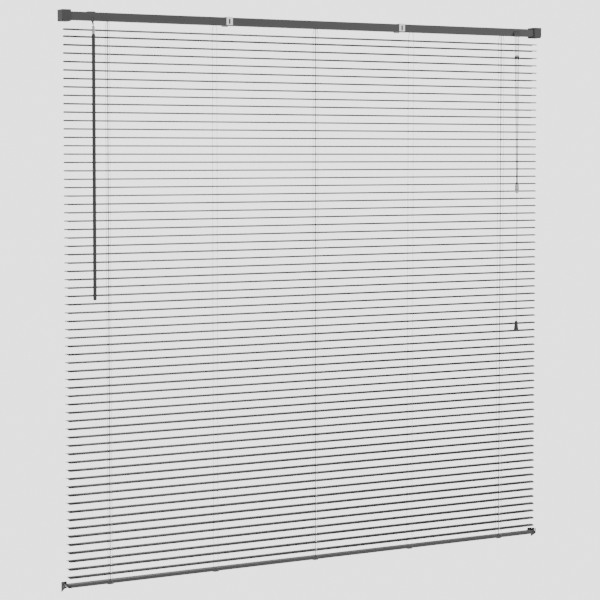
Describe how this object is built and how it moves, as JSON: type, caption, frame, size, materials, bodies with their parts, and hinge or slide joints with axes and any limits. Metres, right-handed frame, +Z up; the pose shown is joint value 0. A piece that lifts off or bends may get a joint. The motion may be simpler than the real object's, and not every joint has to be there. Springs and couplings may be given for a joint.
{
  "type": "venetian blind",
  "caption": "Venetian blind: headrail in end brackets, thin crowned slats on ladder strings, wand tilter, cord lock with joined pull cords and tassel, bottom rail with hold-downs.",
  "frame": {"origin": "middle of the end brackets' wall screws, on the wall plane", "axes": "X along the slats, -Y into the room, +Z up"},
  "size_m": [1.4, 0.0424, 1.418],
  "materials": {
    "slat_enamel": "satin",
    "ladder_string": "matte",
    "cord": "matte",
    "rail_enamel": "satin",
    "end_cap_plastic": "matte",
    "bracket_enamel": "satin",
    "support_enamel": "satin",
    "hold_down_steel": "satin",
    "plated_steel": "satin",
    "mechanism_plastic": "matte",
    "clear_plastic": "gloss",
    "wand_plastic": "gloss",
    "dark_plastic": "satin"
  },
  "bodies": {
    "root": {"headrail": "rail_enamel", "headrail_cap_left": "end_cap_plastic", "headrail_cap_right": "end_cap_plastic", "bracket_left": "bracket_enamel", "bracket_right": "bracket_enamel", "door_pins": "plated_steel", "support_bracket_1": "support_enamel", "support_bracket_2": "support_enamel", "ladder_cradles": "mechanism_plastic", "ladder_tops": "ladder_string", "tilter_housing": "mechanism_plastic", "cord_lock": "mechanism_plastic", "lift_cord_1": "cord", "lift_cord_2": "cord", "lift_cord_3": "cord", "hold_down_left": "hold_down_steel", "hold_down_right": "hold_down_steel", "pull_cords": "cord", "slats_1": "slat_enamel"},
    "door_left": {"door_left": "bracket_enamel"},
    "door_right": {"door_right": "bracket_enamel"},
    "tilt": {"tilt_rod": "plated_steel", "ladder_drums": "mechanism_plastic", "tilter_gear": "mechanism_plastic"},
    "worm": {"worm": "plated_steel", "wand_hook": "plated_steel"},
    "sleeve": {"wand_sleeve": "clear_plastic"},
    "wand": {"wand": "wand_plastic"},
    "roller": {"lock_roller": "plated_steel"},
    "rail": {"bottom_rail": "rail_enamel", "rail_cap_left": "end_cap_plastic", "rail_cap_right": "end_cap_plastic", "hold_down_pins": "plated_steel", "ladder_plugs": "end_cap_plastic"},
    "pull": {"cord_stops": "dark_plastic", "cord_joiner": "clear_plastic", "pull_tail": "cord", "tassel": "dark_plastic"},
    "band_2": {"slats_2": "slat_enamel"},
    "band_3": {"slats_3": "slat_enamel"},
    "band_4": {"slats_4": "slat_enamel"},
    "band_5": {"slats_5": "slat_enamel"},
    "band_6": {"slats_6": "slat_enamel"},
    "band_7": {"slats_7": "slat_enamel"},
    "rear_1": {"ladder_rear_1": "ladder_string"},
    "front_1": {"ladder_front_1": "ladder_string"},
    "rear_2": {"ladder_rear_2": "ladder_string"},
    "front_2": {"ladder_front_2": "ladder_string"},
    "rear_3": {"ladder_rear_3": "ladder_string"},
    "front_3": {"ladder_front_3": "ladder_string"},
    "rear_4": {"ladder_rear_4": "ladder_string"},
    "front_4": {"ladder_front_4": "ladder_string"},
    "rear_5": {"ladder_rear_5": "ladder_string"},
    "front_5": {"ladder_front_5": "ladder_string"},
    "rear_6": {"ladder_rear_6": "ladder_string"},
    "front_6": {"ladder_front_6": "ladder_string"},
    "rear_7": {"ladder_rear_7": "ladder_string"},
    "front_7": {"ladder_front_7": "ladder_string"}
  },
  "joints": [
    {"name": "door_left_hinge", "type": "hinge", "parent": "root", "child": "door_left", "pos_m": [-0.6885, -0.0284, -0.0123], "axis": [1, 0, 0], "range_deg": [0, 105]},
    {"name": "door_right_hinge", "type": "hinge", "parent": "root", "child": "door_right", "pos_m": [0.6885, -0.0284, -0.0123], "axis": [1, 0, 0], "range_deg": [0, 105]},
    {"name": "tilt", "type": "hinge", "parent": "root", "child": "tilt", "pos_m": [0, -0.0165, 0.0006], "axis": [1, 0, 0], "range_deg": [-111.54, 111.54], "deforming": ["slats_1", "slats_2", "slats_3", "slats_4", "slats_5", "slats_6", "slats_7", "ladder_tops"]},
    {"name": "worm_spin", "type": "hinge", "parent": "root", "child": "worm", "pos_m": [-0.621, -0.02374, 0.00323], "axis": [0, 0.342, 0.9397], "range_deg": [-1116.38, 1116.38]},
    {"name": "wand_swing", "type": "hinge", "parent": "root", "child": "sleeve", "pos_m": [-0.621, -0.03447, -0.02627], "axis": [-1, 0, 0], "range_deg": [0, 50]},
    {"name": "wand_spin", "type": "hinge", "parent": "sleeve", "child": "wand", "pos_m": [-0.621, -0.03447, -0.02627], "axis": [0, 0, 1], "range_deg": [-1116.38, 1116.38]},
    {"name": "lift_band_2", "type": "slide", "parent": "root", "child": "band_2", "axis": [0, 0, 1], "range_m": [0, 0.19972]},
    {"name": "lift_band_3", "type": "slide", "parent": "root", "child": "band_3", "axis": [0, 0, 1], "range_m": [0, 0.39942]},
    {"name": "lift_band_4", "type": "slide", "parent": "root", "child": "band_4", "axis": [0, 0, 1], "range_m": [0, 0.59623]},
    {"name": "lift_band_5", "type": "slide", "parent": "root", "child": "band_5", "axis": [0, 0, 1], "range_m": [0, 0.77568]},
    {"name": "lift_band_6", "type": "slide", "parent": "root", "child": "band_6", "axis": [0, 0, 1], "range_m": [0, 0.95512]},
    {"name": "lift", "type": "slide", "parent": "root", "child": "band_7", "axis": [0, 0, 1], "range_m": [0, 1.14614], "deforming": ["ladder_front_1", "ladder_rear_1", "ladder_front_2", "ladder_rear_2", "ladder_front_3", "ladder_rear_3", "ladder_front_4", "ladder_rear_4", "ladder_front_5", "ladder_rear_5", "ladder_front_6", "ladder_rear_6", "ladder_front_7", "ladder_rear_7", "lift_cord_1", "lift_cord_2", "lift_cord_3"]},
    {"name": "rear_strings_1", "type": "slide", "parent": "root", "child": "rear_1", "axis": [0, 0, 1], "range_m": [-0.01266, 0.01266]},
    {"name": "front_strings_1", "type": "slide", "parent": "rear_1", "child": "front_1", "axis": [0, 0, 1], "range_m": [-0.02532, 0.02532]},
    {"name": "rear_strings_2", "type": "slide", "parent": "band_2", "child": "rear_2", "axis": [0, 0, 1], "range_m": [-0.01266, 0.01266]},
    {"name": "front_strings_2", "type": "slide", "parent": "rear_2", "child": "front_2", "axis": [0, 0, 1], "range_m": [-0.02532, 0.02532]},
    {"name": "rear_strings_3", "type": "slide", "parent": "band_3", "child": "rear_3", "axis": [0, 0, 1], "range_m": [-0.01266, 0.01266]},
    {"name": "front_strings_3", "type": "slide", "parent": "rear_3", "child": "front_3", "axis": [0, 0, 1], "range_m": [-0.02532, 0.02532]},
    {"name": "rear_strings_4", "type": "slide", "parent": "band_4", "child": "rear_4", "axis": [0, 0, 1], "range_m": [-0.01266, 0.01266]},
    {"name": "front_strings_4", "type": "slide", "parent": "rear_4", "child": "front_4", "axis": [0, 0, 1], "range_m": [-0.02532, 0.02532]},
    {"name": "rear_strings_5", "type": "slide", "parent": "band_5", "child": "rear_5", "axis": [0, 0, 1], "range_m": [-0.01266, 0.01266]},
    {"name": "front_strings_5", "type": "slide", "parent": "rear_5", "child": "front_5", "axis": [0, 0, 1], "range_m": [-0.02532, 0.02532]},
    {"name": "rear_strings_6", "type": "slide", "parent": "band_6", "child": "rear_6", "axis": [0, 0, 1], "range_m": [-0.01266, 0.01266]},
    {"name": "front_strings_6", "type": "slide", "parent": "rear_6", "child": "front_6", "axis": [0, 0, 1], "range_m": [-0.02532, 0.02532]},
    {"name": "rear_strings_7", "type": "slide", "parent": "band_7", "child": "rear_7", "axis": [0, 0, 1], "range_m": [-0.01266, 0.01266]},
    {"name": "front_strings_7", "type": "slide", "parent": "rear_7", "child": "front_7", "axis": [0, 0, 1], "range_m": [-0.02532, 0.02532]},
    {"name": "rail_tilt", "type": "hinge", "parent": "band_7", "child": "rail", "pos_m": [0, -0.0165, -1.387], "axis": [1, 0, 0], "range_deg": [-75.1, 75.1]},
    {"name": "pull", "type": "slide", "parent": "root", "child": "pull", "axis": [0, 0, -1], "range_m": [0, 1.14615], "deforming": ["pull_cords"]},
    {"name": "lock_roller", "type": "slide", "parent": "root", "child": "roller", "axis": [0, -0.8, -0.6], "range_m": [0, 0.0015]}
  ],
  "couplings": [
    {"joint": "worm_spin", "follows": "tilt", "ratio": 10},
    {"joint": "wand_spin", "follows": "tilt", "ratio": 10},
    {"joint": "lift_band_2", "follows": "lift", "ratio": 0.17424},
    {"joint": "lift_band_3", "follows": "lift", "ratio": 0.34848},
    {"joint": "lift_band_4", "follows": "lift", "ratio": 0.5202},
    {"joint": "lift_band_5", "follows": "lift", "ratio": 0.67677},
    {"joint": "lift_band_6", "follows": "lift", "ratio": 0.83333},
    {"joint": "rear_strings_1", "follows": "tilt", "m_per_rad": 0.0065},
    {"joint": "front_strings_1", "follows": "tilt", "m_per_rad": -0.013},
    {"joint": "rear_strings_2", "follows": "tilt", "m_per_rad": 0.0065},
    {"joint": "front_strings_2", "follows": "tilt", "m_per_rad": -0.013},
    {"joint": "rear_strings_3", "follows": "tilt", "m_per_rad": 0.0065},
    {"joint": "front_strings_3", "follows": "tilt", "m_per_rad": -0.013},
    {"joint": "rear_strings_4", "follows": "tilt", "m_per_rad": 0.0065},
    {"joint": "front_strings_4", "follows": "tilt", "m_per_rad": -0.013},
    {"joint": "rear_strings_5", "follows": "tilt", "m_per_rad": 0.0065},
    {"joint": "front_strings_5", "follows": "tilt", "m_per_rad": -0.013},
    {"joint": "rear_strings_6", "follows": "tilt", "m_per_rad": 0.0065},
    {"joint": "front_strings_6", "follows": "tilt", "m_per_rad": -0.013},
    {"joint": "rear_strings_7", "follows": "tilt", "m_per_rad": 0.0065},
    {"joint": "front_strings_7", "follows": "tilt", "m_per_rad": -0.013},
    {"joint": "rail_tilt", "follows": "tilt", "ratio": 0.67241},
    {"joint": "pull", "follows": "lift", "ratio": 1}
  ]
}
